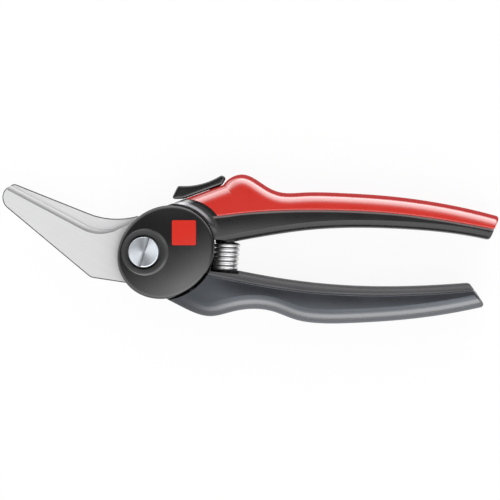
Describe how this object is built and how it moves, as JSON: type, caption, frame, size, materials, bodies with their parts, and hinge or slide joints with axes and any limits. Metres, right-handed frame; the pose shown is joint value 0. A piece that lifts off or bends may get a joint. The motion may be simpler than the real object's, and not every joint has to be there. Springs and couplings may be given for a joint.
{
  "type": "utility snips",
  "caption": "Angled utility snips with broad flat blades, sprung handles with moulded grips, an oval hub cover over a slotted pivot screw, and a sliding thumb latch.",
  "frame": {"origin": "on the pivot axis, in the plane of the flat back that the snips lie on", "axes": "+Z along the pivot axis, from the back to the slotted screw head; +X from the pivot to the handle ends; +Y towards the handle with the thumb latch"},
  "size_m": [0.1908, 0.0573, 0.0176],
  "materials": {
    "blade_steel": "satin ground steel",
    "screw_steel": "bright turned steel",
    "hardware_steel": "plain zinc-plated steel",
    "spring_steel": "drawn spring wire",
    "core_black": "fine moulded texture",
    "cover_black": "fine moulded texture, soft sheen",
    "latch_black": "fine moulded texture",
    "grip_red": "smooth moulded, half gloss",
    "grip_grey": "fine moulded texture, soft sheen",
    "badge_red": "smooth, plain"
  },
  "bodies": {
    "upper_handle": {"upper_handle_core": "core_black", "upper_grip": "grip_red", "lower_blade": "blade_steel", "front_hub_cover": "cover_black", "hub_badge": "badge_red", "pivot_screw": "screw_steel", "pivot_bush": "hardware_steel", "spring_washer": "hardware_steel", "nut_washer": "hardware_steel", "pivot_nut": "hardware_steel", "handle_spring": "spring_steel", "latch_leaf_spring": "spring_steel"},
    "lower_handle": {"lower_handle_core": "core_black", "lower_grip": "grip_grey", "upper_blade": "blade_steel", "rear_hub_cover": "cover_black"},
    "latch": {"thumb_latch": "latch_black", "latch_pin": "hardware_steel"}
  },
  "joints": [
    {"name": "handle_pivot", "type": "hinge", "parent": "upper_handle", "child": "lower_handle", "pos_m": [0, 0, 0], "axis": [0, 0, -1], "range_deg": [0, 25], "deforming": ["handle_spring"]},
    {"name": "latch_slide", "type": "slide", "parent": "upper_handle", "child": "latch", "axis": [-0.9397, -0.342, 0], "range_m": [0, 0.0045]}
  ]
}
